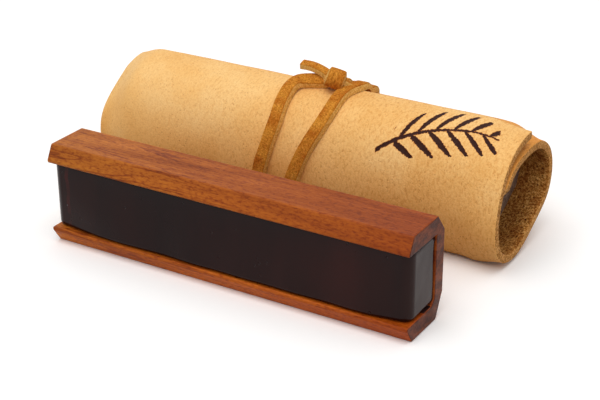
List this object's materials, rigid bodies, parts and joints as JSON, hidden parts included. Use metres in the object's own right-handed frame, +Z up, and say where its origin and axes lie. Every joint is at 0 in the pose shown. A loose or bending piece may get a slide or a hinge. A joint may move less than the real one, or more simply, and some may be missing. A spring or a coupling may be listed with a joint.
{
  "type": "rosin cake",
  "caption": "Rosin cake for a string player's bow: a bar of dark rosin in a wooden holder, with a leather wrap tied round a second cake.",
  "frame": {"origin": "middle of the flat base of the bare cake's holder, on the surface it stands on", "axes": "+X along the holders, towards the end that shows the rosin's section, +Y from the bare cake's open side to the wrap behind it, +Z up"},
  "size_m": [0.1147, 0.0709, 0.0374],
  "materials": {
    "holder_wood": "oiled reddish-brown hardwood with fine lengthwise grain",
    "rosin": "glossy, almost black rosin with a deep red tint",
    "wrap_leather": "smooth tan vegetable-tanned leather with a suede inner side",
    "lace_suede": "flat suede lace, flesh side out",
    "wrapped_holder_wood": "the same wood as the front holder",
    "wrapped_rosin": "the same rosin as the front cake"
  },
  "bodies": {
    "cake": {"cake_holder": "holder_wood", "cake_rosin": "rosin"},
    "wrap": {"leather_wrap": "wrap_leather"},
    "wrapped_cake": {"wrapped_holder": "wrapped_holder_wood", "wrapped_rosin": "wrapped_rosin"},
    "lace": {"tie_lace": "lace_suede"}
  },
  "joints": [
    {"name": "wrap_lift", "type": "slide", "parent": "cake", "child": "wrap", "axis": [0, 0, 1], "range_m": [0, 0.06]},
    {"name": "wrapped_cake_slide", "type": "slide", "parent": "wrap", "child": "wrapped_cake", "axis": [1, 0, 0], "range_m": [0, 0.108]},
    {"name": "lace_slip", "type": "slide", "parent": "wrap", "child": "lace", "axis": [1, 0, 0], "range_m": [0, 0.034]}
  ]
}
